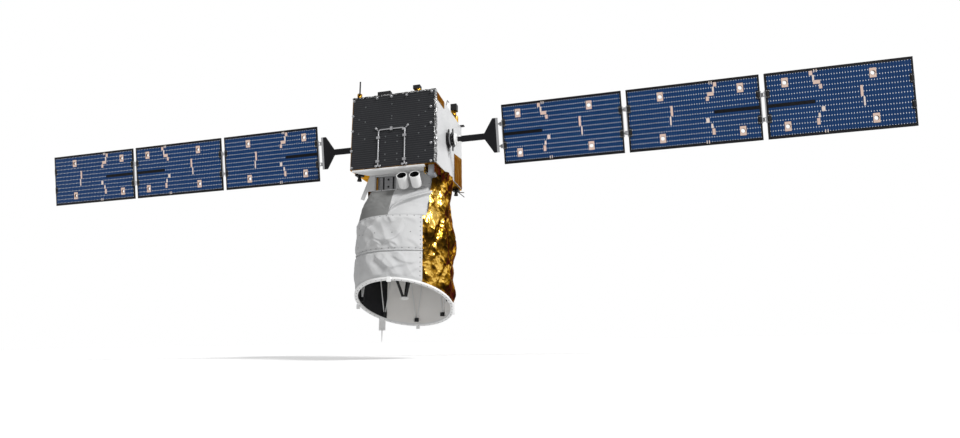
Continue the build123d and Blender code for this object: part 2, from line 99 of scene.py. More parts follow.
class Side(Enum):
    """The two wings and the way each points along X."""

    LEFT = -1
    RIGHT = 1

    @property
    def label(self) -> str:
        """Returns: the side's name in body and node names."""
        return self.name.lower()


def round_scope(turn: float, radius: float, height: float) -> Vector:
    """A place round the telescope's axis.

    Args: turn: degrees from the front towards the right. radius: from the axis. height: in the row frame.
    Returns: the point.
    """
    angle = math.radians(turn)
    return Vector((radius * math.sin(angle), SCOPE_Y - radius * math.cos(angle), height))


def rim_top(turn: float, radius: float = BLANKET_RADIUS) -> float:
    """Returns: the height of the rim's upper face. Args: turn: degrees. radius: from the axis."""
    slant = math.sqrt(1.0 + MOUTH_SLOPE**2)
    return MOUTH_HEIGHT + MOUTH_SLOPE * radius * math.cos(math.radians(turn)) + RIM_DEPTH * slant + 0.003


def ease(value: float, low: float, high: float) -> float:
    """Returns: 0 below low, 1 above high, smooth between. Args: value, low, high: on one scale."""
    share = min(1.0, max(0.0, (value - low) / (high - low)))
    return share * share * (3.0 - 2.0 * share)


def facing(spot: Place, out: Place) -> Matrix:
    """Returns: a place whose Z points outwards. Args: spot: its origin. out: the way of its Z."""
    return Matrix.Translation(Vector(spot)) @ Vector(out).to_track_quat("Z", "Y").to_matrix().to_4x4()


class Graph:
    """A material's nodes, with short calls for the few kinds used here."""

    def __init__(self, name: str) -> None:
        """Args: name: the material's name."""
        self.material = bpy.data.materials.new(name)
        self.material.use_nodes = True
        self.tree = self.material.node_tree
        self.shader = self.tree.nodes["Principled BSDF"]
        self.place = self.tree.nodes.new("ShaderNodeTexCoord").outputs["Object"]

    def link(self, value: Field | tuple, socket: Socket) -> None:
        """Feed a socket from another socket or a constant.

        Args: value: a socket or a constant. socket: the input that takes it.
        """
        if isinstance(value, bpy.types.NodeSocket):
            self.tree.links.new(value, socket)
        else:
            socket.default_value = value

    def maths(self, kind: str, first: Field, second: Field = 0.0) -> Socket:
        """Returns: the result of one math node. Args: kind: operation. first, second: its inputs."""
        node = self.tree.nodes.new("ShaderNodeMath")
        node.operation = kind
        self.link(first, node.inputs[0])
        self.link(second, node.inputs[1])
        return node.outputs[0]

    def slant(self, normal: Socket, way: Colour) -> Socket:
        """Returns: how far a normal leans one way. Args: normal: socket. way: direction."""
        node = self.tree.nodes.new("ShaderNodeVectorMath")
        node.operation = "DOT_PRODUCT"
        self.link(normal, node.inputs[0])
        node.inputs[1].default_value = way
        return node.outputs["Value"]

    def axes(self) -> bpy.types.NodeOutputs:
        """Returns: the X, Y and Z of the object's own coordinates."""
        node = self.tree.nodes.new("ShaderNodeSeparateXYZ")
        self.link(self.place, node.inputs[0])
        return node.outputs

    def stretched(self, scale: Colour) -> Socket:
        """Returns: coordinates stretched per axis. Args: scale: factor along X, Y and Z."""
        node = self.tree.nodes.new("ShaderNodeMapping")
        self.link(self.place, node.inputs["Vector"])
        node.inputs["Scale"].default_value = scale
        return node.outputs[0]

    def noise(self, scale: float, detail: float = 4.0, vector: Socket | None = None) -> Socket:
        """Returns: noise from 0 to 1. Args: scale: per metre. detail: octaves. vector: coordinates."""
        node = self.tree.nodes.new("ShaderNodeTexNoise")
        self.link(vector or self.place, node.inputs["Vector"])
        node.inputs["Scale"].default_value = scale
        node.inputs["Detail"].default_value = detail
        return node.outputs["Fac"]

    def facets(self, scale: float, vector: Socket | None = None) -> Socket:
        """Returns: distance field of a cellular pattern. Args: scale: per metre. vector: coordinates."""
        node = self.tree.nodes.new("ShaderNodeTexVoronoi")
        self.link(vector or self.place, node.inputs["Vector"])
        node.inputs["Scale"].default_value = scale
        return node.outputs["Distance"]

    def blend(self, share: Field, first: Tone, second: Tone) -> Socket:
        """Returns: a colour between two. Args: share: 0 gives first, 1 gives second."""
        node = self.tree.nodes.new("ShaderNodeMix")
        node.data_type = "RGBA"
        self.link(share, node.inputs["Factor"])
        for value, socket in ((first, node.inputs[6]), (second, node.inputs[7])):
            self.link((*value, 1.0) if isinstance(value, tuple) else value, socket)
        return node.outputs[2]

    def ramp(self, value: Socket, stops: tuple[tuple[float, Colour], ...]) -> Socket:
        """Returns: a colour along several stops. Args: value: 0 to 1. stops: place and colour of each."""
        node = self.tree.nodes.new("ShaderNodeValToRGB")
        self.link(value, node.inputs[0])
        marks = node.color_ramp.elements
        while len(marks) < len(stops):
            marks.new(0.5)
        for mark, (place, colour) in zip(marks, stops):
            mark.position = place
            mark.color = (*colour, 1.0)
        return node.outputs["Color"]

    def bump(self, height: Socket, strength: float, depth: float) -> Socket:
        """Dent the surface.

        Args: height: field. strength: 0 to 1. depth: metres.
        Returns: the dented normal.
        """
        node = self.tree.nodes.new("ShaderNodeBump")
        node.inputs["Strength"].default_value = strength
        node.inputs["Distance"].default_value = depth
        self.link(height, node.inputs["Height"])
        self.link(node.outputs[0], self.shader.inputs["Normal"])
        return node.outputs[0]

    def finish(
        self, colour: Tone, roughness: Field, metallic: float = 0.0, shine: float = 0.5
    ) -> bpy.types.Material:
        """Returns: the material. Args: colour, roughness, metallic, shine: the shader's main inputs."""
        self.link((*colour, 1.0) if isinstance(colour, tuple) else colour, self.shader.inputs["Base Color"])
        self.link(roughness, self.shader.inputs["Roughness"])
        self.shader.inputs["Metallic"].default_value = metallic
        self.shader.inputs["Specular IOR Level"].default_value = shine
        return self.material


@dataclass(frozen=True)
class Coat:
    """Paint, metal or plastic with a little variation."""

    name: str
    colour: Colour
    roughness: float = 0.45
    metallic: float = 0.0
    spread: float = 0.12
    grain: float = 60.0
    shine: float = 0.5

    def material(self) -> bpy.types.Material:
        """Returns: the coat's material."""
        graph = Graph(self.name)
        darker = tuple(part * (1.0 - 2.0 * self.spread) for part in self.colour)
        cloudy = graph.noise(4.0, 6.0)
        fine = graph.noise(self.grain, 3.0)
        graph.bump(fine, 0.12, 0.002)
        rough = graph.maths("ADD", graph.maths("MULTIPLY", fine, 0.2), self.roughness - 0.1)
        return graph.finish(graph.blend(cloudy, self.colour, darker), rough, self.metallic, self.shine)


@dataclass(frozen=True)
class Film:
    """Metal-coated film whose crumples get painted reflections: each takes its colour from how far it leans
    towards the key light.
    """

    name: str
    # stops: colours of the painted reflection, from facets leaning away from the key light to painted glints
    # on facets facing it; swing and cloud set how the painted bands repeat and wander.
    stops: tuple[tuple[float, Colour], ...]
    roughness: float = 0.24
    facet: float = 5.0
    depth: float = 0.05
    swing: float = 6.0
    edge: Colour = (1.0, 1.0, 1.0)
    cloud: float = 5.0

    def material(self) -> bpy.types.Material:
        """Returns: the film's material."""
        graph = Graph(self.name)
        wide = graph.facets(self.facet, graph.stretched((1.0, 1.0, 0.55)))
        small = graph.facets(self.facet * 2.7)
        height = graph.maths("ADD", wide, graph.maths("MULTIPLY", small, 0.16))
        normal = graph.bump(height, 0.7, self.depth)
        # Painted reflection: how far the bumped normal leans towards the key light, banded by a sine, picks a
        # dark or bright stop of the ramp.
        lean = graph.slant(normal, (0.60, -0.42, 0.68))
        drift = graph.maths("MULTIPLY", graph.noise(2.5, 3.0), self.cloud)
        painted_reflection_wave = graph.maths("SINE", graph.maths("ADD", graph.maths("MULTIPLY", lean, self.swing), drift))
        painted_reflection_tone = graph.maths("ADD", graph.maths("MULTIPLY", painted_reflection_wave, 0.5), 0.5)
        graph.shader.inputs["Specular Tint"].default_value = (*self.edge, 1.0)
        return graph.finish(graph.ramp(painted_reflection_tone, self.stops), self.roughness, 0.95)


@dataclass(frozen=True)
class Cloth:
    """Woven cloth with a fine thread and soft creases."""

    name: str
    colour: Colour
    shade: Colour
    thread: float = 900.0
    crease: float = 5.0
    dent: float = 0.22

    def material(self) -> bpy.types.Material:
        """Returns: the cloth's material."""
        graph = Graph(self.name)
        axes = graph.axes()
        warp = graph.maths("SINE", graph.maths("MULTIPLY", axes["Z"], self.thread))
        level = graph.maths("ADD", axes["X"], axes["Y"])
        weft = graph.maths("SINE", graph.maths("MULTIPLY", level, self.thread))
        weave = graph.maths("MULTIPLY", graph.maths("MULTIPLY", warp, weft), 0.03)
        crease = graph.noise(self.crease, 6.0)
        graph.bump(graph.maths("ADD", crease, weave), self.dent, 0.03)
        return graph.finish(graph.blend(graph.noise(2.2, 5.0), self.colour, self.shade), 0.75, 0.0, 0.2)


@dataclass(frozen=True)
class CellGlass:
    """Rows of cells under glass on one panel, with cropped corners that show as pale dots."""

    name: str
    start: float
    colour: Colour = (0.0040, 0.027, 0.098)
    tint: Colour = (0.0060, 0.037, 0.128)
    line: Colour = (0.045, 0.090, 0.18)
    corner: Colour = (0.76, 0.78, 0.80)
    dot: float = 0.0125

    def material(self) -> bpy.types.Material:
        """Returns: the cells' material."""
        graph = Graph(self.name)
        axes = graph.axes()
        along = graph.maths("SUBTRACT", graph.maths("ABSOLUTE", axes["X"]), self.start + CELL_END_BORDER)
        flat = graph.maths("MULTIPLY", graph.maths("SUBTRACT", axes["Y"], WING_AXIS.y), math.sin(WING_TILT))
        tall = graph.maths("MULTIPLY", graph.maths("SUBTRACT", axes["Z"], WING_AXIS.z), math.cos(WING_TILT))
        across = graph.maths("ADD", graph.maths("ADD", flat, tall), PANEL_WIDTH / 2 - CELL_SIDE_BORDER)
        pitch_along = (PANEL_LENGTH - 2 * CELL_END_BORDER) / CELL_COLUMNS
        pitch_across = (PANEL_WIDTH - 2 * CELL_SIDE_BORDER) / CELL_ROWS
        edge_along = graph.maths("PINGPONG", along, pitch_along / 2)
        edge_across = graph.maths("PINGPONG", across, pitch_across / 2)
        upright = graph.maths("LESS_THAN", edge_along, 0.0016)
        level = graph.maths("LESS_THAN", edge_across, 0.0008)
        slim = graph.maths("ADD", graph.maths("MULTIPLY", edge_along, 2.0), edge_across)
        dot = graph.maths("LESS_THAN", slim, self.dot)
        shade = graph.blend(graph.noise(3.0, 2.0), self.colour, self.tint)
        lined = graph.blend(graph.maths("MAXIMUM", upright, level), shade, self.line)
        graph.shader.inputs["Coat Weight"].default_value = 0.04
        graph.shader.inputs["Coat Roughness"].default_value = 0.1
        return graph.finish(graph.blend(dot, lined, self.corner), 0.4, 0.0, 0.07)


@dataclass(frozen=True)
class Lined:
    """Skin with fine level lines, and upright ones where it is tiled."""

    name: str
    colour: Colour
    line: Colour
    pitch: float = 0.0395
    width: float = 0.0022
    tiled: bool = False
    roughness: float = 0.4
    shine: float = 0.12

    def material(self) -> bpy.types.Material:
        """Returns: the skin's material."""
        graph = Graph(self.name)
        axes = graph.axes()
        line = graph.maths("LESS_THAN", graph.maths("PINGPONG", axes["Z"], self.pitch / 2), self.width)
        if self.tiled:
            upright = graph.maths("LESS_THAN", graph.maths("PINGPONG", axes["Y"], self.pitch / 2), self.width)
            line = graph.maths("MAXIMUM", line, upright)
        lighter = tuple(min(1.0, 1.35 * part + 0.004) for part in self.colour)
        cloudy = graph.blend(graph.noise(2.5, 6.0), self.colour, lighter)
        graph.bump(graph.maths("ADD", line, graph.maths("MULTIPLY", graph.noise(40.0), 0.3)), 0.2, 0.002)
        lined = graph.blend(graph.maths("MULTIPLY", line, 0.75), cloudy, self.line)
        return graph.finish(lined, self.roughness, 0.0, self.shine)


class Looks:
    """All finishes, made once and handed out by name."""

    def __init__(self) -> None:
        """Make every material."""
        # Ramp stops for the films' painted reflections: dark for facets leaning away from the key light, a
        # painted glint for those facing it.
        gold = (
            (0.0, (0.009, 0.004, 0.0006)), (0.35, (0.038, 0.018, 0.002)), (0.66, (0.10, 0.048, 0.005)),
            (0.88, (0.30, 0.15, 0.012)), (1.0, (0.85, 0.54, 0.12)),
        )
        flat_gold = (
            (0.0, (0.10, 0.045, 0.008)), (0.35, (0.22, 0.11, 0.020)), (0.7, (0.36, 0.19, 0.038)),
            (1.0, (0.60, 0.36, 0.09)),
        )
        silver = ((0.0, (0.006,) * 3), (0.45, (0.045,) * 3), (0.75, (0.18,) * 3), (1.0, (0.60,) * 3))
        finishes = [
            Coat("bare_metal", (0.34, 0.34, 0.35), 0.32, 0.85),
            Coat("dull_metal", (0.10, 0.105, 0.11), 0.45, 0.5),
            Coat("black_metal", (0.011, 0.011, 0.012), 0.5, shine=0.2),
            Coat("carbon", (0.007, 0.007, 0.009), 0.5, shine=0.12),
            Coat("white_paint", (0.80, 0.80, 0.795), 0.6, 0.0, 0.04, shine=0.2),
            Coat("grey_paint", (0.22, 0.23, 0.25), 0.5),
            Coat("salmon_tape", (0.74, 0.55, 0.46), 0.55, 0.0, 0.08, shine=0.2),
            Coat("pale_tape", (0.78, 0.67, 0.60), 0.55, 0.0, 0.06, shine=0.2),
            Coat("brown_bush", (0.2, 0.1, 0.055), 0.5),
            Coat("snap_metal", (0.10, 0.10, 0.105), 0.45, 0.3),
            Coat("mirror_face", (0.55, 0.57, 0.6), 0.14, 1.0, 0.03),
            Film("gold_film", gold, edge=(0.7, 0.42, 0.10)),
            Film("gold_sheet", flat_gold, 0.3, 4.5, 0.035, 7.0, (0.8, 0.5, 0.15), 1.5),
            Film("silver_film", silver, 0.28, 26.0, 0.02, 9.0),
            Cloth("white_cloth", (0.54, 0.54, 0.536), (0.45, 0.455, 0.463)),
            # Painted shade: a darker copy of the white cloth for the shoulder's left, where the ledge's
            # shadow falls.
            Cloth("grey_cloth", (0.22, 0.22, 0.215), (0.15, 0.153, 0.15)),
            Cloth("pale_lining", (0.93, 0.91, 0.88), (0.82, 0.80, 0.77), 700.0, 3.2, 1.0),
            Cloth("black_lining", (0.009, 0.009, 0.010), (0.016, 0.016, 0.018), 700.0, 3.2, 1.0),
            Lined("lined_black", (0.015, 0.0155, 0.0175), (0.075, 0.077, 0.08), shine=0.08),
            Lined("bay_grey", (0.20, 0.20, 0.205), (0.10, 0.10, 0.10), 0.06, 0.0012),
            Lined("radiator", (0.46, 0.463, 0.466), (0.36, 0.365, 0.37), 0.04, 0.0007, True, 0.3, 0.4),
        ]
        finishes += [
            CellGlass(f"cells_{number}", PANEL_START + (number - 1) * (PANEL_LENGTH + PANEL_GAP))
            for number in (1, 2, 3)
        ]
        self.made = {finish.name: finish.material() for finish in finishes}

    def paint(self, thing: Thing, name: str) -> Thing:
        """Give a piece one finish.

        Args: thing: the piece. name: the finish.
        Returns: the piece.
        """
        thing.data.materials.clear()
        thing.data.materials.append(self.made[name])
        return thing

    def nodes(self, table: tuple[tuple[str, str], ...]) -> None:
        """Give CAD nodes their finishes. Args: table: node and finish of each."""
        for node, name in table:
            self.paint(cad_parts[node], name)

    def add(self, thing: Thing, name: str, body: str) -> Thing:
        """Paint a piece and let it ride a body.

        Args: thing: the piece. name: the finish. body: what it moves with.
        Returns: the piece.
        """
        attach(self.paint(thing, name), body)
        LOG.info("%s rides %s", thing.name, body)
        return thing


class Bench:
    """Small modelling calls that leave each piece at the origin with its place in its mesh."""

    @staticmethod
    def clear() -> None:
        """Deselect everything."""
        bpy.ops.object.select_all(action="DESELECT")

    @classmethod
    def choose(cls, *things: Thing) -> None:
        """Select pieces, the first one active. Args: things: the pieces."""
        cls.clear()
        for thing in things:
            thing.select_set(True)
        bpy.context.view_layer.objects.active = things[0]

    @staticmethod
    def settle(name: str) -> Thing:
        """Name the active piece and write its place into its mesh.

        Args: name: the piece's name.
        Returns: the piece.
        """
        thing = bpy.context.active_object
        thing.name = name
        bpy.ops.object.transform_apply(location=True, rotation=True, scale=True)
        return thing

    @classmethod
    def block(cls, name: str, middle: Place, size: Place, bevel: float = 0.004) -> Thing:
        """A box with softened edges.

        Args: name: its name. middle: its centre. size: its sides. bevel: edge width.
        Returns: the box.
        """
        cls.clear()
        bpy.ops.mesh.primitive_cube_add(size=1.0, location=middle)
        bpy.context.active_object.scale = size
        thing = cls.settle(name)
        soft = thing.modifiers.new("edges", "BEVEL")
        soft.width = bevel
        soft.segments = 2
        bpy.ops.object.modifier_apply(modifier=soft.name)
        return thing

    @classmethod
    def surface(cls, name: str, columns: int, rows: int, shape: Shape, smooth: bool = True) -> Thing:
        """A sheet of small faces laid out by a formula.

        Args: name: its name. columns, rows: faces each way. shape: point for two shares from 0 to 1.
            smooth: whether its faces blend.
        Returns: the sheet.
        """
        cls.clear()
        bpy.ops.mesh.primitive_grid_add(
            x_subdivisions=columns, y_subdivisions=rows, size=1.0, location=(0, 0, 0)
        )
        thing = cls.settle(name)
        for corner in thing.data.vertices:
            corner.co = shape(corner.co.x + 0.5, corner.co.y + 0.5)
        if smooth:
            bpy.ops.object.shade_smooth()
        thing.data.update()
        return thing

    @classmethod
    def lathe(cls, name: str, place: Matrix, profile: tuple[Spot, ...], sides: int = 24) -> Thing:
        """A turned piece.

        Args: name: its name. place: its foot, with Z along its axis. profile: height and radius of each ring.
            sides: facets round.
        Returns: the piece.
        """
        last = len(profile) - 1

        def shape(around: float, along: float) -> Vector:
            """Returns: a point of the turned piece. Args: around, along: shares from 0 to 1."""
            height, radius = profile[round(along * last)]
            angle = 2.0 * math.pi * around
            return place @ Vector((radius * math.cos(angle), radius * math.sin(angle), height))

        thing = cls.surface(name, sides, last, shape)
        bpy.ops.object.mode_set(mode="EDIT")
        bpy.ops.mesh.select_all(action="SELECT")
        bpy.ops.mesh.remove_doubles(threshold=0.0001)
        bpy.ops.mesh.normals_make_consistent(inside=False)
        bpy.ops.object.mode_set(mode="OBJECT")
        bpy.ops.object.shade_smooth_by_angle(angle=math.radians(40))
        return thing

    @classmethod
    def rod(cls, name: str, start: Place, end: Place, radius: float, sides: int = 16) -> Thing:
        """A round bar with broken edges between two points.

        Args: name: its name. start, end: the ends' centres. radius: of the bar. sides: facets round.
        Returns: the bar.
        """
        run = Vector(end) - Vector(start)
        edge = min(0.2 * radius, 0.003)
        profile = ((0.0, 0.0002), (0.0, radius - edge), (edge, radius), (run.length - edge, radius),
                   (run.length, radius - edge), (run.length, 0.0002))
        return cls.lathe(name, facing(start, run), profile, sides)

    @classmethod
    def copies(cls, name: str, model: Thing, places: list[Matrix]) -> Thing:
        """One mesh with a model at many places.

        Args: name: its name. model: what is repeated, removed here. places: where.
        Returns: the mesh's piece.
        """
        corners = [corner.co.copy() for corner in model.data.vertices]
        faces = [tuple(face.vertices) for face in model.data.polygons]
        points = [place @ corner for place in places for corner in corners]
        shifted = [
            tuple(index + turn * len(corners) for index in face)
            for turn in range(len(places))
            for face in faces
        ]
        mesh = bpy.data.meshes.new(name)
        mesh.from_pydata(points, [], shifted)
        thing = bpy.data.objects.new(name, mesh)
        bpy.context.scene.collection.objects.link(thing)
        bpy.data.objects.remove(model)
        cls.choose(thing)
        bpy.ops.object.shade_smooth_by_angle(angle=math.radians(40))
        return thing

    @classmethod
    def join(cls, name: str, things: list[Thing]) -> Thing:
        """One piece from several.

        Args: name: its name. things: the parts.
        Returns: the piece.
        """
        cls.choose(*things)
        bpy.ops.object.join()
        thing = bpy.context.active_object
        thing.name = name
        return thing

    @classmethod
    def put(cls, thing: Thing, place: Matrix) -> Thing:
        """Move a piece by a matrix and write that into its mesh.

        Args: thing: the piece. place: where it goes.
        Returns: the piece.
        """
        cls.choose(thing)
        thing.matrix_world = place @ thing.matrix_world
        bpy.ops.object.transform_apply(location=True, rotation=True, scale=True)
        return thing

    @staticmethod
    def area(thing: Thing) -> float:
        """Returns: the area of a sheet's faces. Args: thing: the sheet."""
        return sum(face.area for face in thing.data.polygons)

    @classmethod
    def bolt(cls, radius: float, height: float) -> Thing:
        """Returns: a bolt head on its washer. Args: radius: of the washer. height: of the head."""
        profile = ((-0.001, radius), (0.3 * height, radius), (0.3 * height, 0.68 * radius),
                   (0.85 * height, 0.66 * radius), (height, 0.45 * radius), (height, 0.0002))
        return cls.lathe("bolt", Matrix.Identity(4), profile, 10)


@dataclass
class Wing:
    """One solar wing: cells, tape patches, hinges, harness and yoke."""

    side: Side
    looks: Looks

    @property
    def place(self) -> Matrix:
        """Returns: the matrix from span, width and cell side to the row frame."""
        across = Vector((0.0, math.sin(WING_TILT), math.cos(WING_TILT)))
        out = Vector((0.0, -math.cos(WING_TILT), math.sin(WING_TILT)))
        columns = Matrix((Vector((1.0, 0.0, 0.0)), across, out)).transposed().to_4x4()
        return Matrix.Translation(WING_AXIS) @ columns

    def start(self, number: int) -> float:
        """Returns: where a panel begins along the span. Args: number: counted outwards."""
        return PANEL_START + (number - 1) * (PANEL_LENGTH + PANEL_GAP)

    def share(self, number: int, part: float) -> float:
        """Returns: a place along the span. Args: number: panel. part: share, turned on panel 2."""
        along = 1.0 - part if number == 2 else part
        return self.side.value * (self.start(number) + along * PANEL_LENGTH)

    def tape(self, number: int, part: float, across: float, size: Spot, rise: float = 0.0045) -> Thing:
        """One rectangle of tape on the panel's face.

        Args: number: panel. part: share of the length. across: share of the width from the middle.
            size: along and across, in metres. rise: thickness of the tape.
        Returns: the tape.
        """
        middle = (self.share(number, part), across * PANEL_WIDTH, PANEL_HALF + rise / 2)
        return Bench.block("tape", middle, (size[0], size[1], rise), 0.0006)

    def hold_spots(self, number: int) -> list[Spot]:
        """Returns: the hold-down holes along and across. Args: number: panel."""
        return [
            (self.share(number, part), way * HOLD_ACROSS * PANEL_WIDTH)
            for part in HOLD_PLACES
            for way in (-1, 1)
        ]

    def hold_patches(self, number: int) -> list[Thing]:
        """Returns: the tape squares round the hold-down holes. Args: number: panel."""
        made = []
        for along, across in self.hold_spots(number):
            patch = Bench.block("patch", (along, across, PANEL_HALF + 0.0011), (0.094, 0.149, 0.0022), 0.0006)
            cutter = Bench.rod("cutter", (along, across, -0.1), (along, across, 0.1), 0.037, 32)
            Bench.choose(patch)
            cut = patch.modifiers.new("hole", "BOOLEAN")
            cut.object = cutter
            cut.operation = "DIFFERENCE"
            cut.solver = "EXACT"
            bpy.ops.object.modifier_apply(modifier=cut.name)
            bpy.data.objects.remove(cutter)
            made.append(patch)
        return made

    def steps(self, number: int, table: tuple[tuple[float, float, float, float], ...]) -> list[Thing]:
        """Returns: tape pieces over the cells. Args: number: panel. table: place and size of each."""
        return [self.tape(number, part, across, (long, wide)) for part, across, long, wide in table]

    def bushes(self, number: int) -> Thing:
        """Returns: the brown walls of the holes. Args: number: panel."""
        high = PANEL_HALF + 0.003
        profile = ((-high, 0.0345), (-high, 0.0366), (high, 0.0366), (high, 0.0345), (-high, 0.0345))
        model = Bench.lathe("bush", Matrix.Identity(4), profile, 32)
        places = [facing((*spot, 0.0), (0, 0, 1)) for spot in self.hold_spots(number)]
        return Bench.copies("bushes", model, places)

    def brackets(self, number: int) -> list[Thing]:
        """Returns: the black hinge brackets in the cells' notches. Args: number: panel."""
        made = []
        for end in (0.0, 1.0):
            inward = 1.0 if end == 0.0 else -1.0
            for spot in HINGE_SPOTS:
                along = self.side.value * (self.start(number) + end * PANEL_LENGTH + inward * 0.028)
                for shift, long, wide, rise in ((0.0, 0.054, 0.13, 0.007), (0.0, 0.03, 0.07, 0.013)):
                    middle = (along + shift, spot, PANEL_HALF + rise / 2)
                    made.append(Bench.block("bracket", middle, (long, wide, rise), 0.002))
        return made

    def screws(self, number: int) -> Thing:
        """Returns: the screws of the hinge brackets. Args: number: panel."""
        places = []
        for end in (0.0, 1.0):
            inward = 1.0 if end == 0.0 else -1.0
            for spot in HINGE_SPOTS:
                for shift in (-0.052, 0.052):
                    for deep in (0.014, 0.042):
                        along = self.side.value * (self.start(number) + end * PANEL_LENGTH + inward * deep)
                        places.append(facing((along, spot + shift, PANEL_HALF + 0.007), (0, 0, 1)))
        return Bench.copies("screws", Bench.bolt(0.006, 0.004), places)

    def harness(self, number: int) -> Thing:
        """Returns: the flat row of cables along the black strip. Args: number: panel."""
        first, last = self.share(number, 0.004), self.share(number, 0.333)
        model = Bench.rod("cable", (first, 0.0, 0.0), (last, 0.0, 0.0), 0.0036, 8)
        places = [Matrix.Translation((0.0, step * 0.0088, PANEL_HALF + 0.0034)) for step in range(-2, 3)]
        return Bench.copies("harness", model, places)

    def dress(self, number: int) -> None:
        """Add one panel's tape, brackets and harness. Args: number: panel."""
        salmon = ((0.322, 0.425, 0.05, 0.07), (0.358, 0.285, 0.10, 0.06), (0.383, 0.215, 0.045, 0.07),
                  (0.352, -0.30, 0.045, 0.10), (0.655, 0.085, 0.036, 0.17))
        pale = ((0.337, 0.35, 0.028, 0.09), (0.391, -0.12, 0.05, 0.075), (0.361, -0.21, 0.03, 0.07),
                (0.668, -0.07, 0.024, 0.14), (0.345, 0.455, 0.012, 0.05), (0.362, 0.455, 0.012, 0.05),
                (0.392, -0.452, 0.012, 0.05), (0.409, -0.452, 0.012, 0.05))
        label = self.side.label
        patches = self.hold_patches(number) + self.steps(number, salmon)
        for kind, finish, thing in (
            ("tape", "salmon_tape", Bench.join("tape", patches)),
            ("pale_tape", "pale_tape", Bench.join("pale_tape", self.steps(number, pale))),
            ("bushes", "brown_bush", self.bushes(number)),
            ("brackets", "black_metal", Bench.join("brackets", self.brackets(number))),
            ("screws", "bare_metal", self.screws(number)),
            ("harness", "carbon", self.harness(number)),
        ):
            thing.name = f"{label}_panel_{number}_{kind}"
            self.looks.add(Bench.put(thing, self.place), finish, f"{label}_panel_{number}")

    def drive(self) -> None:
        """Add the drive's bright band and its ring of bolts."""
        label, way = self.side.label, self.side.value
        band = ((0.052, 0.1122), (0.054, 0.1148), (0.074, 0.1148), (0.076, 0.1122), (0.052, 0.1122))
        foot = facing((way * 0.782, WING_AXIS.y, WING_AXIS.z), (way, 0, 0))
        self.looks.add(Bench.lathe(f"{label}_drive_band", foot, band, 48), "bare_metal", "bus")
        ring = []
        for step in range(12):
            angle = math.radians(30 * step + 15)
            spot = foot @ Vector((0.126 * math.cos(angle), 0.126 * math.sin(angle), 0.108))
            ring.append(facing(spot, (way, 0, 0)))
        bolts = Bench.copies(f"{label}_drive_bolts", Bench.bolt(0.008, 0.006), ring)
        self.looks.add(bolts, "bare_metal", "bus")

    def build(self) -> None:
        """Paint the wing's nodes and add its small pieces."""
        label = self.side.label
        table = [(f"{label}_drive_housing", "black_metal"), (f"{label}_drive_hub", "white_paint"),
                 (f"{label}_yoke", "carbon"), (f"{label}_yoke_hinges", "bare_metal")]
        for number in (1, 2, 3):
            table += [(f"{label}_panel_{number}", "carbon"), (f"{label}_cells_{number}", f"cells_{number}"),
                      (f"{label}_panel_{number}_hinges", "bare_metal")]
        self.looks.nodes(tuple(table))
        for number in (1, 2, 3):
            self.dress(number)
        self.drive()


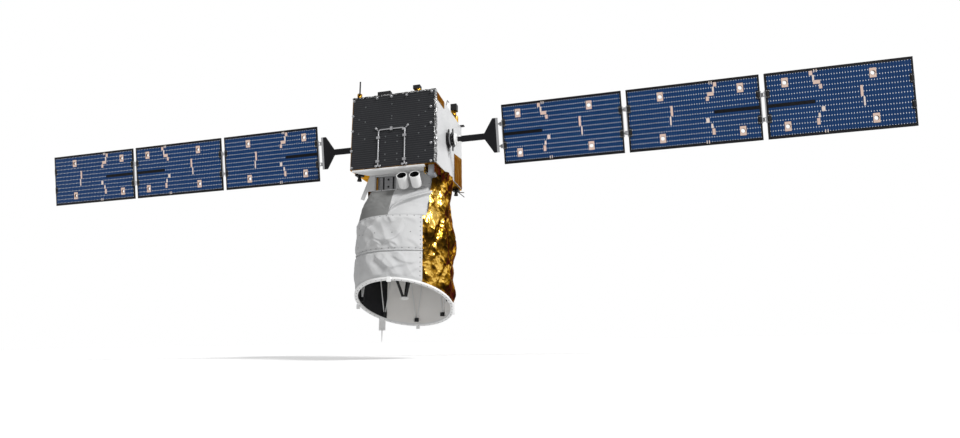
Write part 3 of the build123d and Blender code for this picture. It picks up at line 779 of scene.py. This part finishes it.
@dataclass
class Bus:
    """The box: black front with its bolts and knobs, pale walls, foil edges and deck fittings."""

    looks: Looks
    front: float = -0.857
    wall: float = 0.782

    def paint(self) -> None:
        """Give the box's nodes their finishes."""
        self.looks.nodes((
            ("bus_core", "gold_sheet"), ("front_radiator", "lined_black"), ("left_radiator", "radiator"),
            ("right_radiator", "radiator"), ("rear_panel", "gold_sheet"), ("launch_ring", "bare_metal"),
            ("cooling_pipe", "bare_metal"), ("pipe_clamps", "bare_metal"), ("rod_antenna", "black_metal"),
            ("deck_boxes", "black_metal"), ("sun_sensor", "gold_film"), ("thrusters", "black_metal"),
            ("corner_box", "grey_paint"), ("front_ledge", "white_paint"),
        ))

    def bolts(self) -> None:
        """Grey bolt heads on the black front, in their columns and rows."""
        columns = (
            (-0.633, (-0.513, -0.782)),
            (-0.515, (-0.289, -0.569, -0.887)),
            (-0.022, (-0.283, -0.510, -0.560, -0.710)),
            (0.474, (-0.279, -0.558, -0.881, -1.307)),
            (0.592, (-0.502, -0.776, -1.208)),
            (-0.129, (-0.880, -0.987, -1.205, -1.310)),
            (0.087, (-0.887, -0.993, -1.212, -1.316)),
        )
        places = [facing((x, self.front, z), (0, -1, 0)) for x, rows in columns for z in rows]
        self.looks.add(Bench.copies("front_bolts", Bench.bolt(0.015, 0.008), places), "dull_metal", "bus")

    def knobs(self) -> None:
        """Bright stand-off knobs along the edges of the front."""
        spots = (
            (0.694, -0.423), (0.695, -0.719), (0.697, -1.083), (0.698, -1.404),
            (-0.746, -0.440), (-0.743, -0.728),
            (-0.752, -1.093), (-0.735, -1.400), (-0.298, -0.145), (-0.029, -0.145),
            (0.253, -0.149), (0.709, -0.142),
            (-0.735, -0.15),
        )
        profile = ((-0.001, 0.023), (0.006, 0.023), (0.008, 0.013), (0.020, 0.013),
                   (0.022, 0.019), (0.030, 0.018),
                   (0.036, 0.011), (0.037, 0.0002))
        model = Bench.lathe("knob", Matrix.Identity(4), profile, 16)
        places = [facing((x, self.front, z), (0, -1, 0)) for x, z in spots]
        self.looks.add(Bench.copies("front_knobs", model, places), "bare_metal", "bus")

    def pipe_ends(self) -> None:
        """Elbow stays at the pipe's upper corners and feet at its lower ends."""
        level = self.front - 0.013
        stays = ((-0.262, -0.763, -0.300, -0.722), (0.238, -0.763, 0.285, -0.716),
                 (0.238, -0.790, 0.200, -0.780),
                 (-0.252, -1.405, -0.285, -1.412), (-0.252, -1.405, -0.218, -1.412),
                 (0.228, -1.405, 0.262, -1.412),
                 (0.228, -1.405, 0.194, -1.412))
        made = [
            Bench.rod("stay", (x, level, z), (far_x, level, far_z), 0.010)
            for x, z, far_x, far_z in stays
        ]
        cups = [
            Bench.rod("cup", (far_x, self.front + 0.001, far_z), (far_x, level - 0.014, far_z), 0.021)
            for _, _, far_x, far_z in stays
        ]
        self.looks.add(Bench.join("pipe_stays", made + cups), "bare_metal", "bus")

    def edge_foil(self) -> None:
        """Crumpled bright film along the top and right edges of the front."""

        def top(along: float, over: float) -> Vector:
            """Returns: a point of the top strip. Args: along, over: shares from 0 to 1."""
            x = -0.772 + 1.55 * along
            crumple = 0.016 * noise.turbulence(Vector((14 * x, 9 * over, 3.1)), 3, False)
            low = -0.118 + 0.006 * noise.noise(Vector((11 * x, 0.4, 7.7)))
            bend = ease(over, 0.45, 0.6)
            return Vector((x, self.front - 0.003 - crumple * (1 - bend) + 0.05 * ease(over, 0.5, 1.0),
                           low + 0.026 * ease(over, 0.0, 0.55) + crumple * bend + 0.002))

        def right(along: float, over: float) -> Vector:
            """Returns: a point of the right strip. Args: along, over: shares from 0 to 1."""
            z = -1.434 + 1.33 * along
            crumple = 0.015 * noise.turbulence(Vector((14 * z, 9 * over, 8.3)), 3, False)
            bend = ease(over, 0.45, 0.6)
            edge = 0.750 + 0.008 * noise.noise(Vector((10 * z, 0.2, 1.9)))
            return Vector((edge + (self.wall + 0.003 - edge) * ease(over, 0.0, 0.55) + crumple * bend,
                           self.front - 0.003 - crumple * (1 - bend) + 0.05 * ease(over, 0.5, 1.0), z))

        for name, shape in (("top_edge_film", top), ("right_edge_film", right)):
            strip = self.looks.add(Bench.surface(name, 150, 10, shape, False), "silver_film", "bus")
            area = Bench.area(strip)

    def wall_gold(self) -> None:
        """Gold sheets on the right wall: a band by the top front corner and a panel low at the rear."""
        quads = (
            ("wall_gold_top", ((-0.800, -0.122), (-0.800, -0.266), (-0.373, -0.262), (-0.389, -0.122))),
            ("wall_gold_low", ((0.266, -0.875), (0.266, -1.418), (0.815, -1.418), (0.815, -0.800))),
        )
        for name, ((y1, z1), (y2, z2), (y3, z3), (y4, z4)) in quads:

            def shape(along: float, up: float) -> Vector:
                """Returns: a point of the sheet. Args: along, up: shares from 0 to 1."""
                low = Vector((0.0, y2, z2)).lerp(Vector((0.0, y3, z3)), along)
                high = Vector((0.0, y1, z1)).lerp(Vector((0.0, y4, z4)), along)
                spot = low.lerp(high, up)
                edge = min(along, 1 - along, up, 1 - up)
                rise = 0.003 + 0.007 * ease(edge, 0.0, 0.12)
                ripple = 0.006 * abs(noise.noise(Vector((0.0, 9 * spot.y, 9 * spot.z))))
                return Vector((self.wall + rise + ripple, spot.y, spot.z))

            sheet = self.looks.add(Bench.surface(name, 40, 24, shape), "gold_sheet", "bus")
            area = Bench.area(sheet)

    def corner_foil(self) -> None:
        """Crumpled gold film round the box under the front right corner."""
        for name, start, end in (("corner_foil_left", (0.560, -0.800), (0.622, -0.700)),
                                 ("corner_foil_right", (0.740, -0.800), (0.772, -0.440))):

            def shape(along: float, up: float) -> Vector:
                """Returns: a point of the film. Args: along, up: shares from 0 to 1."""
                foot = Vector((*start, 0.0)).lerp(Vector((*end, 0.0)), along)
                z = BUS_BOTTOM - 0.005 - (0.13 + 0.05 * noise.noise(Vector((9 * along, 2.2, 5.0)))) * (1 - up)
                push = 0.03 * noise.turbulence(Vector((5 * along, 4 * up, 2.7 + foot.x)), 3, True)
                return Vector((foot.x - 0.2 * push, foot.y - push, z))

            film = self.looks.add(Bench.surface(name, 40, 22, shape, False), "gold_film", "bus")
            area = Bench.area(film)

    def collars(self) -> None:
        """Gold film collars round the feet of the deck's fittings."""
        for name, x, y, low, high, radius in (
            ("rod_collar", -0.676, -0.780, BUS_TOP, 0.02, 0.036),
            ("head_collar", 0.430, -0.775, BUS_TOP, -0.030, 0.052),
            ("mast_collar", 0.720, 0.470, BUS_TOP, 0.085, 0.050),
        ):

            def shape(around: float, up: float) -> Vector:
                """Returns: a point of the collar. Args: around, up: shares from 0 to 1."""
                angle = 2.0 * math.pi * around
                way = Vector((math.cos(angle), math.sin(angle), 0.0))
                field = way * 2.2 + Vector((x, y, 14 * up * (high - low)))
                crumple = 0.012 * noise.turbulence(field, 2, True)
                return Vector((x, y, low + (high - low) * up)) + way * (radius + crumple)

            film = self.looks.add(Bench.surface(name, 36, 14, shape, False), "gold_film", "bus")
            area = Bench.area(film)

    def brackets(self) -> None:
        """Small stays at the right wall's upper edge and under its rear corner."""
        stays = (((0.770, -0.20, -0.10), (0.800, -0.23, -0.02)),
                 ((0.800, -0.23, -0.02), (0.806, -0.15, -0.025)),
                 ((0.70, 0.72, -1.50), (0.86, 0.70, -1.53)), ((0.70, 0.76, -1.47), (0.845, 0.78, -1.60)))
        made = [Bench.rod("stay", start, end, 0.009) for start, end in stays]
        self.looks.add(Bench.join("corner_stays", made), "bare_metal", "bus")

    def build(self) -> None:
        """Finish the bus."""
        self.paint()
        self.bolts()
        self.knobs()
        self.pipe_ends()
        self.edge_foil()
        self.wall_gold()
        self.corner_foil()
        self.collars()
        self.brackets()


@dataclass(frozen=True)
class Fold:
    """A soft ridge in the cloth between two places, steeper on one flank."""

    turn: float
    height: float
    end_turn: float
    end_height: float
    bow: float
    rise: float
    width: float
    steep: float = 0.4

    def at(self, turn: float, height: float) -> float:
        """Returns: how far the cloth stands out here. Args: turn: degrees. height: metres."""
        scale = math.radians(BLANKET_RADIUS)
        run = Vector(((self.end_turn - self.turn) * scale, self.end_height - self.height))
        spot = Vector(((turn - self.turn) * scale, height - self.height))
        share = spot.dot(run) / run.length_squared
        side = (run.x * spot.y - run.y * spot.x) / run.length - 4.0 * self.bow * share * (1.0 - share)
        width = self.width if side > 0.0 else self.steep * self.width
        past = max(0.0, -share, share - 1.0) * run.length / self.width
        ends = ease(share, -0.1, 0.25) * (1.0 - ease(share, 0.75, 1.1))
        return self.rise * ends * math.exp(-((side / width) ** 2) - past * past)


UPPER_FOLDS = (
    Fold(-17.3, -2.647, 17.9, -2.547, -0.13, 0.022, 0.10, 0.22),
    Fold(-29.0, -2.815, -6.5, -2.800, 0.085, 0.016, 0.055, 0.5),
    Fold(-5.0, -2.795, 13.0, -2.825, 0.06, 0.015, 0.05, 0.5),
    Fold(-9.5, -2.324, -30.0, -2.540, 0.02, 0.016, 0.07, 0.35),
    Fold(-18.0, -2.480, -36.0, -2.640, -0.02, 0.015, 0.07, 0.35),
    Fold(1.5, -2.320, 6.0, -2.450, 0.01, 0.010, 0.05, 0.6),
    Fold(-36.0, -2.350, -52.0, -2.520, 0.02, 0.014, 0.08, 0.4),
    Fold(-44.0, -2.560, -50.0, -2.860, 0.03, 0.013, 0.06, 0.5),
    Fold(16.0, -2.330, 34.0, -2.420, 0.01, 0.008, 0.06, 0.6),
    Fold(22.0, -2.700, 37.0, -2.860, 0.03, 0.010, 0.07, 0.5),
    Fold(-70.0, -2.350, -62.0, -2.860, 0.03, 0.014, 0.08, 0.5),
    Fold(-92.0, -2.400, -80.0, -2.800, 0.04, 0.014, 0.08, 0.5),
)
LOWER_FOLDS = (
    Fold(-34.0, -2.950, -16.0, -3.260, 0.03, 0.018, 0.09, 0.4),
    Fold(-14.0, -2.930, 8.0, -3.180, -0.04, 0.016, 0.08, 0.35),
    Fold(6.0, -2.950, 34.0, -3.080, -0.06, 0.015, 0.08, 0.4),
    Fold(-6.0, -3.290, 22.0, -3.120, 0.04, 0.015, 0.07, 0.4),
    Fold(20.0, -3.320, 37.0, -3.160, 0.02, 0.012, 0.06, 0.5),
    Fold(-48.0, -2.960, -40.0, -3.380, 0.03, 0.015, 0.08, 0.4),
    Fold(-66.0, -2.940, -58.0, -3.400, 0.04, 0.015, 0.09, 0.5),
    Fold(-88.0, -2.960, -78.0, -3.520, 0.04, 0.015, 0.09, 0.5),
)


@dataclass
class Telescope:
    """Baffle, blankets, foil, lining and fittings."""

    looks: Looks

    def paint(self) -> None:
        """Give the telescope's nodes their finishes."""
        self.looks.nodes((
            ("neck_hood", "white_cloth"), ("bay_panels", "bay_grey"), ("star_trackers", "white_paint"),
            ("shoulder", "white_cloth"), ("baffle_shell", "white_paint"), ("baffle_rim", "white_paint"),
            ("mirror_cell", "black_metal"), ("primary_mirror", "mirror_face"),
            ("white_blanket_upper", "white_cloth"),
            ("white_blanket_lower", "white_cloth"), ("gold_blanket", "gold_film"),
            ("dark_lining", "black_lining"),
            ("pale_lining", "pale_lining"), ("rim_brackets", "black_metal"), ("wall_rods", "white_paint"),
            ("secondary_mirror", "white_paint"), ("secondary_struts", "black_metal"),
            ("rim_tabs", "white_paint"),
            ("rim_probe", "white_paint"),
        ))

    @staticmethod
    def cloth_radius(turn: float, height: float, folds: tuple[Fold, ...]) -> float:
        """Returns: the cloth's radius. Args: turn: degrees. height: metres. folds: its ridges."""
        spot = round_scope(turn, 1.0, height)
        along = math.radians(turn) * BLANKET_RADIUS
        lean = Vector((along + 0.8 * height, 0.45 * (height - 0.8 * along), 2.0))
        long_crease = 0.016 * (1.0 - 2.2 * abs(noise.noise(lean * 4.2)))
        crease = long_crease + 0.005 * (1.0 - 2.0 * abs(noise.noise(spot * 7.0)))
        calm = 1.0 - 0.65 * ease(turn, 5.0, 30.0)
        relief = 0.006 + calm * crease + 1.5 * sum(fold.at(turn, height) for fold in folds)
        pinned = ease(abs(height - SEAM_HEIGHT), 0.0, 0.06) * ease(height - rim_top(turn), 0.0, 0.06)
        return max(BAFFLE_RADIUS + 0.004, 0.828 + relief * pinned * ease(BAFFLE_TOP - height, -0.01, 0.06))

    def blankets(self) -> None:
        """The white cloth in two tiers, with a bead along the seam between them."""
        turns = WHITE_END - WHITE_START

        def upper(along: float, up: float) -> Vector:
            """Returns: a point of the upper tier. Args: along, up: shares from 0 to 1."""
            turn = WHITE_START + turns * along
            height = SEAM_HEIGHT + (BAFFLE_TOP + 0.004 - SEAM_HEIGHT) * up
            return round_scope(turn, self.cloth_radius(turn, height, UPPER_FOLDS), height)

        def lower(along: float, up: float) -> Vector:
            """Returns: a point of the lower tier. Args: along, up: shares from 0 to 1."""
            turn = WHITE_START + turns * along
            low = rim_top(turn)
            height = low + (SEAM_HEIGHT - 0.002 - low) * up
            return round_scope(turn, self.cloth_radius(turn, height, LOWER_FOLDS), height)

        def bead(along: float, round_bead: float) -> Vector:
            """Returns: a point of the bead. Args: along, round_bead: shares from 0 to 1."""
            angle = 2.0 * math.pi * round_bead
            wander = 0.003 * noise.noise(Vector((9.0 * along, 0.3, 0.8)))
            return round_scope(WHITE_START + turns * along, 0.8395 + 0.012 * math.cos(angle),
                               SEAM_HEIGHT + wander + 0.012 * math.sin(angle))

        hem = self.looks.add(Bench.surface("seam_bead", 150, 12, bead), "white_cloth", "bus")
        for name, node, rows, shape in (("upper_cloth", "white_blanket_upper", 80, upper),
                                        ("lower_cloth", "white_blanket_lower", 90, lower)):
            cloth = self.looks.add(Bench.surface(name, 230, rows, shape), "white_cloth", "bus")
            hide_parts(node)
            area = Bench.area(cloth)

    def snaps(self) -> None:
        """Small dark snaps along the cloth's edges."""
        spots = [(-33.0 + 7.9 * step, BAFFLE_TOP - 0.016) for step in range(10)]
        spots += [(37.4, -2.354 - 0.0735 * step) for step in range(15)]
        spots += [(-36.0 + 7.6 * step, SEAM_HEIGHT + 0.032) for step in range(10)]
        spots += [(-14.9, -2.597), (6.1, -2.609), (26.2, -2.596), (-43.0, -2.352),
                  (-42.9, -2.463), (-42.9, -2.573),
                  (-32.8, -2.598), (-44.2, -2.786)]
        places = []
        for turn, height in spots:
            folds = UPPER_FOLDS if height > SEAM_HEIGHT else LOWER_FOLDS
            if height > rim_top(turn) + 0.02:
                spot = round_scope(turn, self.cloth_radius(turn, height, folds), height)
                places.append(facing(spot, spot - Vector((0.0, SCOPE_Y, height))))
        self.looks.add(Bench.copies("cloth_snaps", Bench.bolt(0.0085, 0.004), places), "snap_metal", "bus")

    @staticmethod
    def crumple(turn: float, height: float) -> float:
        """Returns: how far the foil stands out, from 0 to about 1. Args: turn: degrees. height: metres."""
        spot = round_scope(turn, BLANKET_RADIUS, height)
        lean = Vector((spot.x, spot.y, 0.62 * spot.z + 0.35 * spot.x))
        near = noise.voronoi(lean * 3.4)[0]
        fine = noise.voronoi(lean * 8.5 + Vector((3.0, 1.0, 7.0)))[0]
        wide = noise.noise(lean * 1.9)
        large = 0.8 * min(1.0, 1.5 * (near[1] - near[0]))
        return large - 0.3 * min(1.0, 1.4 * (fine[1] - fine[0])) + 0.35 * wide

    def foil(self) -> None:
        """The gold foil round the right and rear, from the bus down to the rim."""

        def base(height: float) -> float:
            """Returns: the foil's mean distance from the axis. Args: height: metres."""
            if height > WAIST_HEIGHT:
                share = (height - WAIST_HEIGHT) / (BUS_BOTTOM - WAIST_HEIGHT)
                return WAIST_RADIUS + (NECK_TOP_RADIUS - WAIST_RADIUS) * share
            if height > BAFFLE_TOP:
                share = (WAIST_HEIGHT - height) / (WAIST_HEIGHT - BAFFLE_TOP)
                return WAIST_RADIUS + (0.832 - WAIST_RADIUS) * share
            return 0.832

        def shape(along: float, up: float) -> Vector:
            """Returns: a point of the foil. Args: along, up: shares from 0 to 1."""
            turn = WHITE_END + (FOIL_END - WHITE_END) * along
            low = rim_top(turn)
            high = BAFFLE_TOP + (BUS_BOTTOM - 0.002 - BAFFLE_TOP) * ease(turn, 44.0, NECK_FOIL_START)
            height = low + (high - low) * up
            free = ease(height - low, 0.03, 0.16) * (0.15 + 0.85 * ease(turn, WHITE_END, WHITE_END + 9.0))
            bulge = 0.035 * math.exp(-(((height + 2.6) / 0.22) ** 2)) * ease(turn, 62.0, 90.0)
            out = free * (0.062 * self.crumple(turn, height) + bulge)
            return round_scope(turn, max(base(height) + out, base(height) - 0.006), height)

        foil = self.looks.add(Bench.surface("gold_foil", 300, 190, shape), "gold_film", "bus")
        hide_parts("gold_blanket")
        area = Bench.area(foil)

    def shoulder_point(self, place: float, down: float, rise: float) -> Vector:
        """A point over the shoulder's ruled surface.

        Args: place: -1 to 0 runs along the left side to the front left corner, 0 to 1 round
            that corner, 1 to 2 along the front edge and 2 to 3 round the right corner.
            down: 0 at the hood, 1 at the baffle. rise: outwards.
        Returns: the point.
        """
        left, right = HOOD_MIDDLE - HOOD_HALF_WIDTH, HOOD_MIDDLE + HOOD_HALF_WIDTH
        front, rear = SCOPE_Y - HOOD_HALF_DEPTH, SCOPE_Y + HOOD_HALF_DEPTH
        if place < 0.0:
            top = Vector((left, rear + (front - rear + HOOD_CORNER) * (1.0 + place), HOOD_LOW))
            turn = -90.0
        elif place < 1.0:
            turn = -90.0 * (1.0 - place)
            angle = math.radians(turn)
            top = Vector((left + HOOD_CORNER + HOOD_CORNER * math.sin(angle),
                          front + HOOD_CORNER - HOOD_CORNER * math.cos(angle), HOOD_LOW))
        elif place < 2.0:
            run = right - left - 2 * HOOD_CORNER
            top = Vector((left + HOOD_CORNER + run * (place - 1.0), front, HOOD_LOW))
            turn = 0.0
        else:
            turn = 90.0 * (place - 2.0)
            angle = math.radians(turn)
            top = Vector((right - HOOD_CORNER + HOOD_CORNER * math.sin(angle),
                          front + HOOD_CORNER - HOOD_CORNER * math.cos(angle), HOOD_LOW))
        low = round_scope(turn, SHOULDER_LOW, BAFFLE_TOP)
        spot = top.lerp(low, down)
        out = Vector((spot.x, spot.y - SCOPE_Y, 0.12)).normalized()
        return spot + out * rise

    def shoulder_cloth(self) -> None:
        """Two cloths over the shoulder: on the left a darker copy of the white cloth as painted shade under
        the ledge, white with a deep fold on the right.
        """
        seam = 1.40

        def rise(place: float, down: float) -> float:
            """Returns: how far the cloth stands off. Args: place: along the outline. down: from the hood."""
            slack = math.sin(math.pi * min(1.0, max(0.0, down)))
            field = Vector((2.3 * place, 3.1 * down, 4.4))
            drape = 0.0
            if place > seam:
                ridge = down - (0.86 - 0.62 * ease(place, seam, 2.5))
                width = 0.17 if ridge < 0.0 else 0.07
                drape = 0.085 * math.exp(-((ridge / width) ** 2)) * ease(place, seam, seam + 0.25)
            ripple = 0.022 + 0.02 * noise.noise(field) + 0.008 * noise.noise(field * 3.0)
            return 0.008 + slack * (ripple + drape)

        # The left cloth's darker colour is painted shade under the ledge.
        for name, finish, start, end in (("shoulder_cloth_left", "grey_cloth", -0.75, seam),
                                         ("shoulder_cloth_right", "white_cloth", seam, 2.47)):

            def shape(along: float, up: float) -> Vector:
                """Returns: a point of the cloth. Args: along, up: shares from 0 to 1."""
                place = start + (end - start) * along
                down = 1.0 - up
                return self.shoulder_point(place, 0.01 + 0.975 * down, rise(place, down))

            cloth = self.looks.add(Bench.surface(name, 150, 60, shape), finish, "bus")
            area = Bench.area(cloth)

    def neck_fittings(self) -> None:
        """Dark strips, eyes and a gold strip in the bay, tracker liners and snaps on the hood."""
        bay_middle, bay_tall = -1.6225, 0.232
        gold_middle = (-0.3855, HOOD_FRONT + 0.007, bay_middle)
        gold = Bench.block("bay_gold", gold_middle, (0.034, 0.006, bay_tall), 0.002)
        self.looks.add(gold, "gold_sheet", "bus")
        strips = [
            Bench.block("strip", (x, HOOD_FRONT + 0.05, bay_middle), (0.026, 0.03, bay_tall), 0.003)
            for x in (-0.274, -0.091)
        ]
        self.looks.add(Bench.join("bay_strips", strips), "black_metal", "bus")
        ring = ((0.0, 0.014), (0.006, 0.018), (0.009, 0.018), (0.011, 0.012), (0.002, 0.010), (0.001, 0.0002))
        model = Bench.lathe("eye", Matrix.Identity(4), ring, 20)
        eyes = [facing((-0.181, HOOD_FRONT + 0.02, z), (0, -1, 0)) for z in (-1.56, -1.69)]
        self.looks.add(Bench.copies("bay_eyes", model, eyes), "black_metal", "bus")
        way = Vector((0.08, -0.82, 0.57)).normalized()
        liner = ((0.066, 0.0002), (0.066, 0.05), (0.09, 0.055), (0.09, 0.0782), (0.14, 0.0782), (0.14, 0.066),
                 (0.143, 0.066), (0.143, 0.0782), (0.2, 0.0782), (0.2, 0.07), (0.203, 0.07), (0.203, 0.0782),
                 (0.252, 0.0786))
        tubes = [
            Bench.lathe("liner", facing(Vector((x, HOOD_FRONT - 0.064, -1.748)), way), liner, 32)
            for x in (0.152, 0.380)
        ]
        self.looks.add(Bench.join("tracker_liners", tubes), "black_metal", "bus")
        places = [facing((x, HOOD_FRONT, z), (0, -1, 0)) for x, z in (
            (-0.44, -1.53), (-0.44, -1.72), (-0.30, -1.752), (0.53, -1.53), (0.57, -1.70), (0.0, -1.752),
        )]
        self.looks.add(Bench.copies("hood_snaps", Bench.bolt(0.0085, 0.004), places), "snap_metal", "bus")

    def rim_fittings(self) -> None:
        """Bolts round the rim's face and end plates at the tops of the struts."""
        down = Vector((0.0, -MOUTH_SLOPE, -1.0)).normalized()
        places = []
        for step in range(48):
            turn = 7.5 * step + 2.0
            height = MOUTH_HEIGHT + MOUTH_SLOPE * RIM_MIDDLE * math.cos(math.radians(turn))
            places.append(facing(round_scope(turn, RIM_MIDDLE, height), down))
        self.looks.add(Bench.copies("rim_bolts", Bench.bolt(0.008, 0.005), places), "dull_metal", "bus")
        plates = []
        for turn in (-18.0, 42.0, 192.0):
            spot = round_scope(turn, 0.752, -2.452)
            plate = Bench.block("plate", (0, 0, 0), (0.022, 0.10, 0.07), 0.004)
            swing = Matrix.Rotation(math.radians(turn - 90), 4, "Z")
            plates.append(Bench.put(plate, Matrix.Translation(spot) @ swing))
        self.looks.add(Bench.join("strut_plates", plates), "white_paint", "bus")

    def build(self) -> None:
        """Finish the telescope."""
        self.paint()
        self.blankets()
        self.snaps()
        self.foil()
        self.shoulder_cloth()
        self.neck_fittings()
        self.rim_fittings()


@dataclass
class Studio:
    """Floor, light and camera of the photograph."""

    eye: Vector = Vector((3.2489, -8.5688, -4.3465))
    right: Vector = Vector((0.97453, 0.22353, -0.01791))
    down: Vector = Vector((-0.06894, 0.22265, -0.97246))
    focal_pixels: float = 513.18
    image_width: float = 960.0

    @staticmethod
    def shown(tree: bpy.types.NodeTree) -> bpy.types.NodeSocket:
        """Returns: 1 where a ray shows the backdrop itself, else 0. Args: tree: the nodes it joins."""
        path = tree.nodes.new("ShaderNodeLightPath")
        found = path.outputs["Is Camera Ray"]
        for kind in ("Is Glossy Ray", "Is Transmission Ray"):
            larger = tree.nodes.new("ShaderNodeMath")
            larger.operation = "MAXIMUM"
            tree.links.new(found, larger.inputs[0])
            tree.links.new(path.outputs[kind], larger.inputs[1])
            found = larger.outputs[0]
        return found

    def floor(self) -> None:
        """A wide pale floor under the craft."""
        Bench.clear()
        bpy.ops.mesh.primitive_plane_add(size=400.0, location=(0.0, 0.0, FLOOR_HEIGHT))
        ground = Bench.settle("floor")
        graph = Graph("floor_paint")
        pale = graph.blend(graph.noise(0.3), (0.80, 0.80, 0.80), (0.79, 0.79, 0.79))
        graph.shader.inputs["Emission Color"].default_value = (1.0, 1.0, 1.0, 1.0)
        glow = graph.maths("MULTIPLY", self.shown(graph.tree), 0.30)
        graph.link(glow, graph.shader.inputs["Emission Strength"])
        ground.data.materials.append(graph.finish(pale, 0.9, 0.0, 0.1))

    def lights(self) -> None:
        """Soft white surroundings with a large key light."""
        world = bpy.data.worlds.new("studio")
        bpy.context.scene.world = world
        world.use_nodes = True
        world.node_tree.nodes["Background"].inputs["Color"].default_value = (1.0, 1.0, 1.0, 1.0)
        level = world.node_tree.nodes.new("ShaderNodeMath")
        level.operation = "MULTIPLY_ADD"
        world.node_tree.links.new(self.shown(world.node_tree), level.inputs[0])
        level.inputs[1].default_value = 0.55
        level.inputs[2].default_value = 0.45
        world.node_tree.links.new(level.outputs[0], world.node_tree.nodes["Background"].inputs["Strength"])
        light = bpy.data.lights.new("key", "SUN")
        light.angle = math.radians(14)
        light.energy = 3.2
        lamp = bpy.data.objects.new("key", light)
        bpy.context.scene.collection.objects.link(lamp)
        lamp.rotation_euler = Vector((-0.70, 0.42, -0.58)).to_track_quat("-Z", "Y").to_euler()

    def camera(self) -> None:
        """The photograph's camera."""
        data = bpy.data.cameras.new("camera")
        data.sensor_width = 36.0
        data.lens = data.sensor_width * self.focal_pixels / self.image_width
        data.clip_end = 500.0
        eye = bpy.data.objects.new("camera", data)
        bpy.context.scene.collection.objects.link(eye)
        back = self.right.cross(-self.down)
        turn = Matrix((self.right, -self.down, back)).transposed().to_4x4()
        eye.matrix_world = Matrix.Translation(self.eye) @ turn
        bpy.context.scene.camera = eye

    def build(self) -> None:
        """Set the stage."""
        bpy.context.scene.view_settings.view_transform = "Standard"
        self.floor()
        self.lights()
        self.camera()


def main() -> None:
    """Dress the frame and set the stage."""
    looks = Looks()
    Studio().build()
    Bus(looks).build()
    Telescope(looks).build()
    for side in Side:
        Wing(side, looks).build()


if __name__ == "__main__":
    main()
